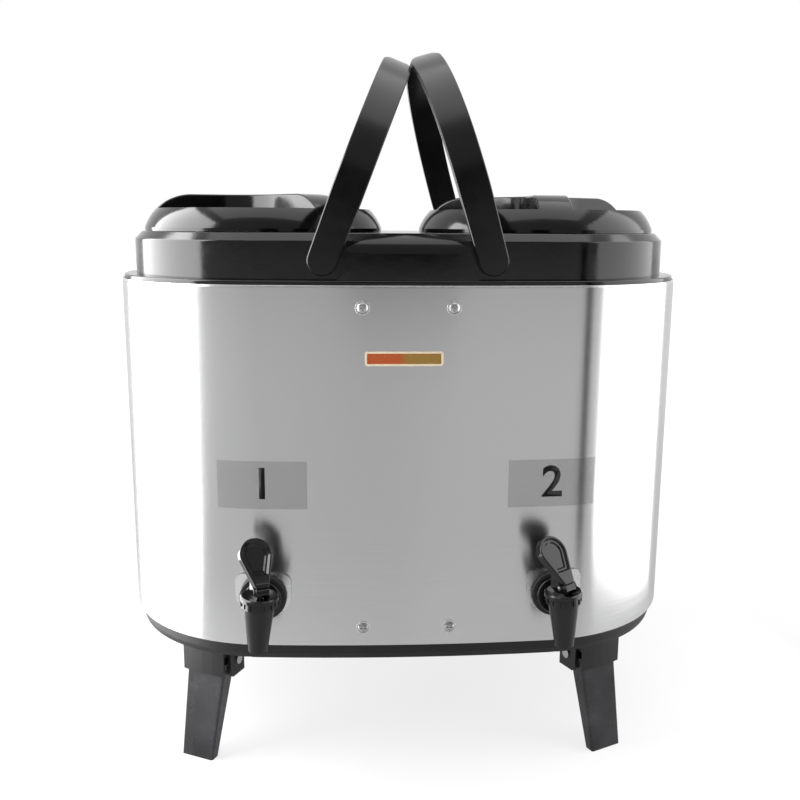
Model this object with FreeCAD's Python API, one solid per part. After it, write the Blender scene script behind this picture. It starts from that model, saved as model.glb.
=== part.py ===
import FreeCAD, Part
import math
import os

# Twin insulated beverage dispenser. Millimetres, +Z up, floor at Z = 0, taps towards -Y.
# One oblong steel jacket holds two drawn tanks in foam, between a moulded collar and a moulded pan.

# Plan of the body: two bowed faces and two round ends, all tangent arcs
half_width = 200.0
half_depth = 112.0
face_radius = 1384.0

# Heights
floor_to_jacket = 90.0
jacket_height = 239.5

# Jacket sheet
sheet = 0.8
turned_edge = 2.0
edge_round = 0.7

# Moulded walls and the clearances between pieces
moulding = 2.5
gap = 0.3
running = 0.06

# How far joined solids run into one another, and cutters past a face
overlap = 1.0
# Half size of the blocks and rods that cut right through a small piece
through = 60.0
# Margin for picking edges by height
tiny = 0.01

# Collar
flange_inset = 1.5
flange_height = 3.5
collar_inset = 10.0
collar_wall_height = 24.0
collar_chamfer_height = 5.1
collar_chamfer_depth = 5.0
collar_round = 1.2
skirt_depth = 24.0

# Tanks and necks
tank_spacing = 197.2
tank_radius = 78.0
tank_floor_rise = 15.0
tank_corner = 9.0
tank_lip = 4.0
neck_radius = 72.0
neck_depth = 29.3
neck_foot = 3.0
neck_seal_height = 2.0
neck_overhang = 1.0

# Lids
lid_radius = 84.7
lid_height = 25.4
lid_edge = 2.2
lid_crown_radius = 54.0
lid_bulge = 5.8
lid_cover_wall = 2.6
scallop_floor = 15.7
grip_half = 11.5
scallop_round = 45.0
grip_round = 1.3
lid_turns = {"left": 190.0, "right": 270.0}
plug_flange_radius = 79.5
plug_flange_height = 7.5
plug_depth = 24.0
plug_clearance = 1.0
plug_nose = 6.0
plug_draft = 2.0
plug_land = 8.0
gasket_inner = 73.0
gasket_outer = 78.0
gasket_height = 3.0

# Bails
pivot_half_spacing = 53.9
pivot_drop = 16.9
bail_gap = 0.5
bail_thickness = 5.5
bail_tip_inset = 1.6
bail_end_radius = 9.5
bail_half_width = 10.2
bail_swell = 45.0
bail_crown = 6.0
bail_edge_bevel = 0.6
bail_lean = {"left": 21.2, "right": 16.4}
stub_radius = 4.5
boss_radius = 8.5
boss_length = 8.0
clip_thickness = 1.4
clip_outer = 7.6
pocket_radius = 15.0

# Bridge between the bails
bridge_inset = 3.0
bridge_front_height = 16.0
bridge_shoulder_height = 20.0
bridge_bulge = 1.6
bridge_root = 8.0
bridge_crest = 0.6

# Base pan
pan_height = 11.3
pan_top_inset = 3.4
pan_foot_inset = 4.6
pan_draft_height = 4.0
pan_floor_rise = 4.5
upstand_height = 25.0
upstand_inset = 2.3
rib_thickness = 2.2
rib_spacing = 36.0
rib_count = 4
rib_setback = 1.0

# Leg brackets, measured back from their front wall
leg_station = 27.6
leg_angle = 25.5
bracket_width = 33.4
bracket_depth = 23.0
bracket_drop = 16.7
bracket_wall = 1.8
cheek_drop = 19.7
cheek_setback = 6.0
cheek_proud = 2.3
leg_offset = 1.5
hinge_depth = 15.5
hinge_drop = 9.2
hinge_radius = 5.4

# Legs
leg_splay = 6.3
leg_sideways = 4.6
leg_width_top = 30.0
leg_width_foot = 25.0
leg_thick_top = 13.0
leg_thick_foot = 7.8
leg_wall = 2.4
leg_round = 1.6
leg_pin_radius = 2.2
leg_pin_head_radius = 3.3
leg_pin_head = 1.2

# Taps
tap_half_spacing = 97.0
tap_offset = 2.3
tap_rise = 36.0
tap_reach = 139.0
spout_drop = 24.2
spout_tip_radius = 6.2
spout_wall = 1.7
chamber_radius = 9.8
chamber_shoulder = 5.0
chamber_height = 8.8
chamber_bore = 7.4
seat_drop = 2.0
seat_thickness = 3.0
seat_bore = 4.2
shank_radius = 7.8
shank_bore = 4.5
shank_into_tank = 15.0
spout_flare = 2.0
tap_neck_radius = 4.8
tap_flange_radius = 12.6
tap_flange_thickness = 3.0
washer_radius = 15.5
washer_thickness = 3.0
washer_round = 1.0
plate_width = 37.0
plate_height = 31.0
plate_thickness = 1.2
plate_corner = 6.0
plate_drop = 0.5
nut_across = 24.0
nut_thickness = 5.0
inner_seal_thickness = 2.5
bonnet_radius = 12.1
bonnet_low = 5.2
bonnet_height = 7.9
bonnet_opening = 6.6
bonnet_recess = 2.0
bonnet_band = 3.0
bonnet_bevel = 0.8
bonnet_waist = 1.2
bonnet_lip = 1.6
bonnet_rib_count = 14
bonnet_rib_width = 1.4
bonnet_rib_proud = 0.7
stem_radius = 2.2
stem_crown = 3.0
cup_radius = 7.0
cup_height = 6.0
cup_floor = 2.5
cup_bevel = 2.0
cup_land = 0.8
cup_disc_radius = 3.6
cup_disc = 1.2
tap_roll = {"left": 2.7, "right": -3.2}
lever_swivel = {"left": 26.0, "right": 34.0}
lever_lean = 37.0
lever_length = 32.6
lever_forward = 4.9
lever_head_radius = 10.6
lever_neck_half = 4.0
lever_thickness = 5.4
lever_edge_round = 0.7
lever_rim = 1.4
lever_dish = 1.3
lever_dish_slope = 1.2
lever_dish_foot = 8.0
neck_front = 4.8
neck_rear = 7.0
neck_front_height = 6.5
neck_rear_height = 8.0
neck_rear_foot = 1.0
heel_radius = 4.2
heel_offset = 3.0
fork_depth = 4.0
fork_wall = 1.0
lever_pin_radius = 1.4

# Screws
screw_half_spacing = 28.8
screw_inset = 13.0
screw_radius = 1.9
screw_length = 9.0
screw_tip = 1.0
screw_hole_depth = 12.0
screw_seat = 0.1
screw_head_radius = 3.3
screw_head_height = 1.9
screw_head_edge = 0.6
screw_recess = 1.1
screw_recess_reach = 2.05
screw_recess_half = 0.45
screw_boss_radius = 4.4
screw_boss_length = 7.5

# Badge and labels
badge_width = 49.6
badge_height = 9.2
badge_z = 284.4
badge_x = -2.5
badge_thickness = 0.5
label_x = {"left": -94.1, "right": 95.6}
label_width = 58.6
label_height = 32.0
label_z = 201.4
label_thickness = 0.15
film_gap = 0.02

# Foam
foam_inset = 5.4
foam_clearance = 1.0

# Levels worked out from the sizes above
jacket_top = floor_to_jacket + jacket_height
flange_top = jacket_top + flange_height
wall_top = flange_top + collar_wall_height
collar_top = wall_top + collar_chamfer_height
pivot_z = collar_top - pivot_drop
pan_bottom = floor_to_jacket - pan_height
pan_floor = pan_bottom + pan_floor_rise
bracket_bottom = pan_bottom - bracket_drop
hinge_z = pan_bottom - hinge_drop
neck_bottom = collar_top - neck_depth
tank_top = neck_bottom - neck_seal_height
tank_bottom = floor_to_jacket + tank_floor_rise
tap_z = floor_to_jacket + tap_rise
bonnet_z = tap_z + bonnet_low
bonnet_top = bonnet_z + bonnet_height
chamber_top = tap_z + chamber_height
seat_z = tap_z - seat_drop
bonnet_floor = bonnet_top - bonnet_recess
lever_pin_z = bonnet_floor + heel_radius + running
cup_bottom = seat_z + gap
cup_top = cup_bottom + cup_height
tank_x = tank_spacing / 2
tank_lip_radius = tank_radius + tank_lip - neck_overhang
lid_bottom = collar_top + gap
lid_top = collar_top + lid_height
side_sign = {"left": -1, "right": 1}
end_sign = {"front": -1, "back": 1}
tap_x = {side: tap_offset + sign * tap_half_spacing for side, sign in side_sign.items()}

# The end arcs are tangent to the face arcs, so one centre serves every parallel outline
end_centre = ((face_radius - half_depth) ** 2 - (face_radius - half_width) ** 2)
end_centre = end_centre / (2 * (face_radius - half_width))
end_radius = half_width - end_centre
face_centre = face_radius - half_depth

# Insets of the layers behind a tap, counted outwards from the jacket's face
plate_back = -gap
plate_front = plate_back - plate_thickness
washer_back = plate_front - gap


def vec(x, y, z):
    return FreeCAD.Vector(x, y, z)


def wire(points, place):
    """A closed outline. A point of four numbers ends an arc that passes through the first two."""
    edges = []
    here = points[0]
    for step in points[1:] + points[:1]:
        start = place(*here[-2:])
        end = place(*step[-2:])
        if len(step) == 4:
            edges.append(Part.Arc(start, place(*step[:2]), end).toShape())
        elif start.distanceToPoint(end) > 1e-6:
            edges.append(Part.makeLine(start, end))
        here = step
    return Part.Wire(edges)


def turned(points, x=0.0, y=0.0):
    """A solid of revolution about the vertical through x, y, from radius and height pairs."""
    face = Part.Face(wire(points, lambda r, z: vec(x + r, y, z)))
    return face.revolve(vec(x, y, 0), vec(0, 0, 1), 360)


def rod(radius, start, end):
    span = end.sub(start)
    return Part.makeCylinder(radius, span.Length, start, span)


def box(x0, x1, y0, y1, z0, z1):
    return Part.makeBox(x1 - x0, y1 - y0, z1 - z0, vec(x0, y0, z0))


def fuse(shapes):
    return shapes[0].multiFuse(shapes[1:]).removeSplitter()


def mirrored_y(shape):
    return shape.mirror(vec(0, 0, 0), vec(0, 1, 0))


def edges_where(shape, test):
    return [edge for edge in shape.Edges if test(edge.BoundBox)]


def level_edges(shape, above, below):
    """Edges that lie level between two heights."""
    return edges_where(shape, lambda b: b.ZLength < tiny and above < b.ZMin < below)


def outline(inset, z):
    """The body's plan moved inwards by inset, as four tangent arcs."""
    span = face_radius - end_radius
    reach = face_radius - inset
    tx = end_centre / span * reach
    ty = reach * face_centre / span - face_centre
    ends = half_width - inset
    faces = half_depth - inset
    points = [(-tx, -ty), (0, -faces, tx, -ty), (ends, 0, tx, ty), (0, faces, -tx, ty)]
    edges = []
    for index, step in enumerate(points[1:] + [(-ends, 0, -tx, -ty)]):
        start = points[index][-2:]
        arc = Part.Arc(vec(start[0], start[1], z), vec(step[0], step[1], z), vec(step[2], step[3], z))
        edges.append(arc.toShape())
    return Part.Wire(edges)


def slab(inset, bottom, top):
    return Part.Face(outline(inset, bottom)).extrude(vec(0, 0, top - bottom))


def ring(outer, inner, bottom, top):
    return slab(outer, bottom, top).cut(slab(inner, bottom, top))


def taper(inset_bottom, bottom, inset_top, top):
    return Part.makeLoft([outline(inset_bottom, bottom), outline(inset_top, top)], True, True)


def face_y(x, inset):
    """How far the front face of a parallel outline lies from the middle at x."""
    return math.sqrt((face_radius - inset) ** 2 - x * x) - face_centre


def screw_places():
    levels = (floor_to_jacket + screw_inset, jacket_top - screw_inset)
    return [(sx * screw_half_spacing, z) for sx in (-1, 1) for z in levels]


def screw_bosses(z):
    """The pads and bosses, front and back, that take the jacket screws at one level."""
    bosses = []
    for sx in (-1, 1):
        x = sx * screw_half_spacing
        y = face_y(x, sheet + gap)
        boss = rod(screw_boss_radius, vec(x, -y, z), vec(x, -y + screw_boss_length, z))
        bosses += [boss, mirrored_y(boss)]
    return bosses


def screw_holes(z, radius):
    holes = []
    for sx in (-1, 1):
        x = sx * screw_half_spacing
        front = -half_depth - overlap
        hole = rod(radius, vec(x, front, z), vec(x, front + screw_hole_depth, z))
        holes += [hole, mirrored_y(hole)]
    return holes


def jacket():
    """Sheet ring whose top and bottom edges are rounded and turned inwards."""
    outer = slab(0, floor_to_jacket, jacket_top)
    rims = level_edges(outer, floor_to_jacket - overlap, jacket_top + overlap)
    outer = outer.makeFillet(edge_round, rims)
    inner = slab(sheet, floor_to_jacket + sheet, jacket_top - sheet)
    mouth = slab(turned_edge, floor_to_jacket, jacket_top)
    shell = outer.cut(inner).cut(mouth)
    cuts = screw_holes(floor_to_jacket + screw_inset, screw_radius + gap)
    cuts += screw_holes(jacket_top - screw_inset, screw_radius + gap)
    for x in tap_x.values():
        cuts.append(rod(shank_radius + gap, vec(x, -half_depth, tap_z), vec(x, -half_depth / 2, tap_z)))
    return shell.cut(cuts)


def bridge():
    """The proud pad between the bails, with an arched top and a hollowed end at each pivot."""
    right = pivot_half_spacing - pocket_radius
    shoulder = flange_top + bridge_shoulder_height
    low_x = pivot_half_spacing - math.sqrt(pocket_radius ** 2 - (pivot_z - flange_top) ** 2)
    turn = -math.asin((pivot_z - flange_top) / pocket_radius) / 2
    mid_x = pivot_half_spacing - pocket_radius * math.cos(turn)
    mid_z = pivot_z + pocket_radius * math.sin(turn)
    face = [(-low_x, flange_top), (low_x, flange_top), (mid_x, mid_z, right, pivot_z),
            (right, shoulder), (0, collar_top + bridge_crest, -right, shoulder), (-right, pivot_z),
            (-mid_x, mid_z, -low_x, flange_top)]
    view = Part.Face(wire(face, lambda x, z: vec(x, -half_depth, z)))
    view = view.extrude(vec(0, half_depth, 0))
    front = half_depth - bridge_inset
    back = half_depth - collar_inset - bridge_root
    bend = flange_top + bridge_front_height
    crest = half_depth - collar_inset - collar_chamfer_depth
    mid_y = (front + crest) / 2 + bridge_bulge
    mid_high = (bend + collar_top) / 2 + bridge_bulge
    side = [(-back, flange_top), (-front, flange_top), (-front, bend),
            (-mid_y, mid_high, -crest, collar_top), (-back, collar_top)]
    depth = Part.Face(wire(side, lambda y, z: vec(-pivot_half_spacing, y, z)))
    depth = depth.extrude(vec(2 * pivot_half_spacing, 0, 0))
    pad = view.common(depth)
    return pad.common(slab(bridge_inset, flange_top, collar_top))


def collar():
    """Moulded top: flange, recessed wall, chamfer, two necks, bridges, pivot and screw bosses."""
    wall = slab(collar_inset, flange_top, wall_top)
    brow = taper(collar_inset, wall_top, collar_inset + collar_chamfer_depth, collar_top)
    crown = wall.fuse(brow).removeSplitter()
    brims = level_edges(crown, flange_top + tiny, collar_top + overlap)
    crown = crown.makeFillet(collar_round, brims)
    flange = slab(flange_inset, jacket_top, flange_top)
    rims = level_edges(flange, jacket_top + tiny, flange_top + overlap)
    flange = flange.makeFillet(collar_round, rims)
    front_bridge = bridge()
    shell = fuse([crown, flange, front_bridge, mirrored_y(front_bridge)])
    inner = collar_inset + moulding
    roof = collar_top - moulding
    cavity = slab(inner, jacket_top, wall_top - overlap)
    cavity = cavity.fuse(taper(inner, wall_top - overlap, inner + collar_chamfer_depth, roof))
    shell = shell.cut(cavity)
    skirt_low = jacket_top - skirt_depth
    skirt = ring(upstand_inset, upstand_inset + moulding, skirt_low, jacket_top)
    ledge = ring(upstand_inset, inner + overlap, jacket_top - moulding, jacket_top)
    adds = [skirt, ledge] + screw_bosses(jacket_top - screw_inset)
    cuts = screw_holes(jacket_top - screw_inset, screw_radius + running)
    for sx in (-1, 1):
        x = sx * tank_x
        foot = neck_bottom + neck_foot
        brim = tank_radius + tank_lip
        neck = [(neck_radius, neck_bottom), (brim, neck_bottom), (brim, foot),
                (neck_radius + moulding, foot), (neck_radius + moulding, collar_top),
                (neck_radius, collar_top)]
        adds.append(turned(neck, x))
        cuts.append(rod(neck_radius, vec(x, 0, neck_bottom - overlap), vec(x, 0, collar_top + overlap)))
        px = sx * pivot_half_spacing
        outer = face_y(px, collar_inset)
        tail = -outer + boss_length
        boss = rod(boss_radius, vec(px, -outer + overlap, pivot_z), vec(px, tail, pivot_z))
        hole = rod(stub_radius + running, vec(px, -half_depth, pivot_z), vec(px, tail + overlap, pivot_z))
        adds += [boss, mirrored_y(boss)]
        cuts += [hole, mirrored_y(hole)]
    return fuse([shell] + adds).cut(cuts)


def leg_frame():
    """Placement of the front right leg's own axes: Y points outwards, X along the pin."""
    angle = math.radians(leg_station)
    reach = end_radius - pan_foot_inset
    base = vec(end_centre + reach * math.sin(angle), -reach * math.cos(angle), 0)
    turn = FreeCAD.Rotation(vec(0, 0, 1), leg_angle)
    half_turn = FreeCAD.Rotation(vec(0, 0, 1), 180)
    return FreeCAD.Placement(base, turn.multiply(half_turn))


def corners():
    return [(end, side) for end in end_sign for side in side_sign]


def at_corner(shape, end, side):
    """A piece drawn in the front right leg's own axes, at any of the four corners."""
    copy = shape.copy()
    copy.Placement = leg_frame().multiply(copy.Placement)
    if side == "left":
        copy = copy.mirror(vec(0, 0, 0), vec(1, 0, 0))
    if end == "back":
        copy = mirrored_y(copy)
    return copy


def blade_section(half, front, back, shift, z):
    points = [(-half, front), (half, front), (half, back), (-half, back)]
    return Part.makePolygon([vec(x + shift, y, z) for x, y in points + points[:1]])


def leg_blade(wall):
    """Tapered blade from the hinge to the floor, its front and sides moved in by a wall."""
    splay = math.tan(math.radians(leg_splay))
    front_top = -bracket_wall - gap - (hinge_z - bracket_bottom) * splay
    front_foot = front_top + hinge_z * splay
    aside = hinge_z * math.tan(math.radians(leg_sideways))
    top = blade_section(leg_width_top / 2 - wall, front_top - wall, front_top - leg_thick_top,
                        leg_offset, hinge_z)
    foot = blade_section(leg_width_foot / 2 - wall, front_foot - wall, front_foot - leg_thick_foot,
                         leg_offset - aside, 0)
    return Part.makeLoft([top, foot], True, True)


def leg():
    """Tapered blade, hollow and ribbed behind, with a knuckle that reaches back to the pin."""
    blade = leg_blade(0)
    fronts = edges_where(blade, lambda b: b.ZLength > hinge_z / 2)
    blade = blade.makeFillet(leg_round, fronts)
    half = leg_width_top / 2
    middle = leg_offset
    front = -bracket_wall - gap
    back = -hinge_depth - hinge_radius
    low = hinge_z - hinge_radius
    knuckle = [(front - leg_thick_top / 2, low), (-hinge_depth, low),
               (back, hinge_z, -hinge_depth, hinge_z + hinge_radius),
               (front - hinge_radius, hinge_z), (front - leg_thick_top / 2, hinge_z)]
    side = Part.Face(wire(knuckle, lambda y, z: vec(middle - half, y, z)))
    knuckle = side.extrude(vec(2 * half, 0, 0))
    hollow = leg_blade(leg_wall)
    far = through
    open_zone = box(-far, far, -far, far, leg_wall, low - leg_wall)
    rib_z = low / 2
    rib = box(-far, far, -far, far, rib_z - leg_wall / 2, rib_z + leg_wall / 2)
    hollow = hollow.common(open_zone).cut(rib)
    pin_end = vec(far, -hinge_depth, hinge_z)
    pin_hole = rod(leg_pin_radius + running, vec(-far, -hinge_depth, hinge_z), pin_end)
    return blade.fuse(knuckle).removeSplitter().cut([hollow, pin_hole])


def leg_pin():
    """Headed pin through both cheeks, its head on the inner one."""
    inner = bracket_width / 2 + cheek_proud
    outer = -bracket_width / 2 + gap
    start = vec(inner, -hinge_depth, hinge_z)
    shank = rod(leg_pin_radius, start, vec(outer, -hinge_depth, hinge_z))
    head = rod(leg_pin_head_radius, start, vec(inner + leg_pin_head, -hinge_depth, hinge_z))
    return shank.fuse(head).removeSplitter()


def bracket():
    """Bracket in the leg's own axes: front wall and two cheeks, open below and inwards."""
    half = bracket_width / 2
    cheek_low = pan_bottom - cheek_drop
    lead = bracket_drop - cheek_drop
    outer_side = [(0, pan_floor), (0, bracket_bottom), (-bracket_wall, bracket_bottom),
                  (-cheek_setback + lead, cheek_low), (-bracket_depth, cheek_low),
                  (-bracket_depth, pan_floor)]
    face = Part.Face(wire(outer_side, lambda y, z: vec(-half, y, z)))
    block = face.extrude(vec(2 * half, 0, 0))
    pad_side = [(-cheek_setback, pan_floor), (-cheek_setback, bracket_bottom),
                (-cheek_setback + lead, cheek_low), (-bracket_depth, cheek_low),
                (-bracket_depth, pan_floor)]
    face = Part.Face(wire(pad_side, lambda y, z: vec(half - overlap, y, z)))
    pad = face.extrude(vec(cheek_proud + overlap, 0, 0))
    slot_half = leg_width_top / 2 + gap
    drift = (hinge_z - cheek_low) * math.tan(math.radians(leg_sideways))
    outboard = leg_offset - slot_half - drift
    roof = hinge_z + hinge_radius + gap
    slot = box(outboard, leg_offset + slot_half, -through, -bracket_wall, cheek_low - overlap, roof)
    reach = vec(through, -hinge_depth, hinge_z)
    hole = rod(leg_pin_radius + running, vec(-half, -hinge_depth, hinge_z), reach)
    return fuse([block, pad]).cut([slot, hole])


def base_pan():
    """Moulded pan: drafted rim, recessed ribbed floor, upstand inside the jacket, four brackets."""
    draft_top = pan_bottom + pan_draft_height
    rim = taper(pan_foot_inset, pan_bottom, pan_top_inset, draft_top)
    rim = rim.fuse(slab(pan_top_inset, draft_top, floor_to_jacket)).removeSplitter()
    feet = level_edges(rim, pan_bottom - overlap, draft_top + tiny)
    rim = rim.makeFillet(collar_round, feet)
    inner = pan_foot_inset + moulding
    rim = rim.cut(slab(inner, pan_bottom, pan_floor))
    rim = rim.cut(slab(upstand_inset + moulding, pan_floor + moulding, floor_to_jacket))
    upstand = ring(upstand_inset, upstand_inset + moulding, floor_to_jacket - overlap,
                   floor_to_jacket + upstand_height)
    parts = [rim, upstand] + screw_bosses(floor_to_jacket + screw_inset)
    inside = slab(inner - overlap, pan_bottom, pan_floor + overlap)
    for index in range(rib_count):
        x = (index - (rib_count - 1) / 2) * rib_spacing
        rib = box(x - rib_thickness / 2, x + rib_thickness / 2, -half_depth, half_depth,
                  pan_bottom + rib_setback, pan_floor + overlap)
        parts.append(rib.common(inside))
    cuts = screw_holes(floor_to_jacket + screw_inset, screw_radius + running)
    shell = fuse(parts).cut(cuts)
    shaped = slab(pan_foot_inset, pan_bottom - cheek_drop, pan_floor)
    one = bracket()
    brackets = [at_corner(one, end, side).common(shaped) for end, side in corners()]
    return fuse([shell] + brackets)


def tank(side):
    """Deep drawn tank with a rounded floor corner and a lip under the neck."""
    r = tank_radius
    lip = tank_lip_radius
    low = tank_bottom + sheet
    bend = r - tank_corner
    level = tank_bottom + tank_corner
    outside = tank_corner * math.sqrt(0.5)
    inside = (tank_corner - sheet) * math.sqrt(0.5)
    points = [(0, tank_bottom), (bend, tank_bottom), (bend + outside, level - outside, r, level),
              (r, tank_top - sheet), (lip, tank_top - sheet), (lip, tank_top), (r - sheet, tank_top),
              (r - sheet, level), (bend + inside, level - inside, bend, low), (0, low)]
    shell = turned(points, side_sign[side] * tank_x)
    x = tap_x[side]
    hole = rod(shank_radius + gap, vec(x, -half_depth, tap_z), vec(x, -tank_radius / 2, tap_z))
    return shell.cut(hole)


def neck_seal(sx):
    inner = tank_radius - sheet
    points = [(inner, tank_top), (tank_lip_radius, tank_top), (tank_lip_radius, neck_bottom),
              (inner, neck_bottom)]
    return turned(points, sx * tank_x)


def insulation():
    """Foam that fills the room between jacket, tanks, pan and collar."""
    bottom = pan_floor + moulding + gap
    top = jacket_top - moulding - gap
    block = slab(foam_inset, bottom, top)
    cuts = []
    for side, sx in side_sign.items():
        start = vec(sx * tank_x, 0, tank_bottom - gap)
        cuts.append(rod(tank_radius + gap, start, vec(sx * tank_x, 0, top + overlap)))
        x = tap_x[side]
        cuts.append(rod(shank_radius + foam_clearance, vec(x, -half_depth, tap_z), vec(x, 0, tap_z)))
    for z in (floor_to_jacket + screw_inset, jacket_top - screw_inset):
        cuts += screw_holes(z, screw_boss_radius + foam_clearance)
    return block.cut(cuts)


def screw():
    """One pan head screw with a cross recess, standing on its tip."""
    r = screw_head_radius
    rise = screw_head_height - screw_head_edge
    ball = (r * r + rise * rise) / (2 * rise)
    half_way = screw_head_height - ball + math.sqrt(ball ** 2 - r * r / 4)
    profile = [(0, -screw_length), (screw_radius, -screw_length + screw_tip), (screw_radius, 0),
               (r, 0), (r, screw_head_edge), (r / 2, half_way, 0, screw_head_height)]
    arm = screw_recess_reach
    slot = screw_recess_half
    low = screw_head_height - screw_recess
    high = screw_head_height + overlap
    long_way = box(-arm, arm, -slot, slot, low, high)
    cross_way = box(-slot, slot, -arm, arm, low, high)
    return turned(profile).cut([long_way, cross_way])


def screws(sy):
    """Four cross recess screws on one face, as one group of separate solids."""
    group = []
    for x, z in screw_places():
        solid = screw()
        solid.rotate(vec(0, 0, 0), vec(1, 0, 0), 90)
        solid.translate(vec(x, -face_y(x, 0) - screw_seat, z))
        group.append(solid if sy < 0 else mirrored_y(solid))
    return Part.makeCompound(group)


def lid_profile():
    """Outer profile of the domed lid, from the axis over the crown to the rim."""
    r = lid_radius
    spring = lid_bottom + lid_edge
    rise = lid_top - spring
    run = r - lid_crown_radius
    chord = math.hypot(run, rise)
    mid_r = r - run / 2 + lid_bulge * rise / chord
    mid_z = spring + rise / 2 + lid_bulge * run / chord
    return [(0, lid_bottom), (r, lid_bottom), (r, spring), (mid_r, mid_z, lid_crown_radius, lid_top),
            (0, lid_top)]


def scallop():
    """One finger hollow beside two grip arms, its floor level and its inner wall one wide arc."""
    half_angle = math.radians(60)
    dx = math.cos(half_angle)
    dy = math.sin(half_angle)
    corner = grip_half / dy
    run = scallop_round / math.tan(half_angle)
    far = lid_radius + overlap
    near = corner + scallop_round / dy - scallop_round
    low = (corner + run * dx, -run * dy)
    high = (corner + run * dx, run * dy)
    reach = far / dx
    points = [high, (near, 0, low[0], low[1]), (corner + reach * dx, -reach * dy),
              (corner + reach * dx, reach * dy)]
    floor = collar_top + scallop_floor
    face = Part.Face(wire(points, lambda x, y: vec(x, y, floor)))
    return face.extrude(vec(0, 0, lid_height))


def lid_cover(side):
    """Domed cover with a three armed grip left between three finger hollows."""
    dome = turned(lid_profile())
    cuts = []
    for index in range(3):
        cut = scallop()
        cut.rotate(vec(0, 0, 0), vec(0, 0, 1), lid_turns[side] + 60 + 120 * index)
        cuts.append(cut)
    cover = dome.cut(cuts).removeSplitter()
    floor = collar_top + scallop_floor
    rounds = level_edges(cover, lid_top - tiny, lid_top + tiny)
    cover = cover.makeFillet(grip_round, rounds)
    roof = floor - lid_cover_wall
    low = lid_bottom - overlap
    bore = plug_flange_radius + gap
    step = collar_top + gasket_height + plug_flange_height + gap
    cavity = [(0, low), (bore, low), (bore, step), (lid_crown_radius, roof), (0, roof)]
    cover = cover.cut(turned(cavity))
    cover.translate(vec(side_sign[side] * tank_x, 0, 0))
    return cover


def lid_plug(sx):
    """Insulated plug: a flange inside the cover and a tapered barrel down the neck."""
    x = sx * tank_x
    low = collar_top - plug_depth
    under = collar_top + gasket_height
    top = under + plug_flange_height
    barrel = neck_radius - plug_clearance
    points = [(0, low), (barrel - plug_nose, low), (barrel - plug_draft, low + plug_nose - plug_draft),
              (barrel, collar_top - plug_land), (barrel, under), (plug_flange_radius, under),
              (plug_flange_radius, top), (0, top)]
    return turned(points, x)


def gasket(sx):
    x = sx * tank_x
    top = collar_top + gasket_height
    points = [(gasket_inner, collar_top), (gasket_outer, collar_top), (gasket_outer, top),
              (gasket_inner, top)]
    return turned(points, x)


def bail_plan(depth, tip, top):
    """Plan of the right bail when folded: two straight arms and a half round end."""
    turn = tip - depth
    start = pivot_half_spacing - bail_end_radius
    points = [(start, -depth), (turn, -depth), (tip, 0, turn, depth), (start, depth)]
    low = 2 * pivot_z - top
    face = Part.Face(wire(points, lambda x, y: vec(x, y, low)))
    return face.extrude(vec(0, 0, top - low))


def folded_bail():
    """The right bail folded flat round the collar's end, before it is stood up."""
    x = pivot_half_spacing
    inner = face_y(x, collar_inset) + bail_gap
    outer = inner + bail_thickness
    tip = half_width - bail_tip_inset
    top = pivot_z + bail_half_width
    hollow = bail_plan(inner, tip - bail_thickness, top)
    band = bail_plan(outer, tip, top).cut(hollow)
    e = bail_end_radius
    w = bail_half_width
    edge_x = tip - bail_crown
    side = [(x, pivot_z - e), (x + bail_swell, pivot_z - w), (edge_x, pivot_z - w),
            (tip, pivot_z, edge_x, pivot_z + w), (x + bail_swell, pivot_z + w),
            (x, pivot_z + e), (x - e, pivot_z, x, pivot_z - e)]
    view = Part.Face(wire(side, lambda px, pz: vec(px, -half_depth, pz)))
    bail = band.common(view.extrude(vec(0, 2 * half_depth, 0)))
    rims = []
    for edge in edges_where(bail, lambda b: b.XLength > tiny):
        middle = edge.valueAt((edge.FirstParameter + edge.LastParameter) / 2)
        beyond = max(middle.x - tip + outer, 0)
        if math.hypot(beyond, middle.y) > outer - tiny:
            rims.append(edge)
    bail = bail.makeChamfer(bail_edge_bevel, rims)
    tail = face_y(x, collar_inset) - boss_length - 2 * gap - clip_thickness
    stub = rod(stub_radius, vec(x, -inner - overlap, pivot_z), vec(x, -tail, pivot_z))
    return fuse([bail, stub, mirrored_y(stub)])


def clips():
    """Retaining rings on the two stubs of the right bail."""
    x = pivot_half_spacing
    near = face_y(x, collar_inset) - boss_length - gap
    outer = rod(clip_outer, vec(x, -near, pivot_z), vec(x, -near + clip_thickness, pivot_z))
    bore = rod(stub_radius + running, vec(x, -near - overlap, pivot_z), vec(x, 0, pivot_z))
    washer = outer.cut(bore)
    return Part.makeCompound([washer, mirrored_y(washer)])


def stood_up(shape, side):
    """Turns a folded right hand piece up to its resting lean, and mirrors it for the left."""
    copy = shape.copy()
    copy.rotate(vec(pivot_half_spacing, 0, pivot_z), vec(0, 1, 0), -90 - bail_lean[side])
    if side == "left":
        copy = copy.mirror(vec(0, 0, 0), vec(1, 0, 0))
    return copy


def flange_y(side):
    """Where the tap's flange meets the flat front of its washer."""
    return -face_y(abs(tap_x[side]) - washer_radius, washer_back) - washer_thickness


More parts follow.
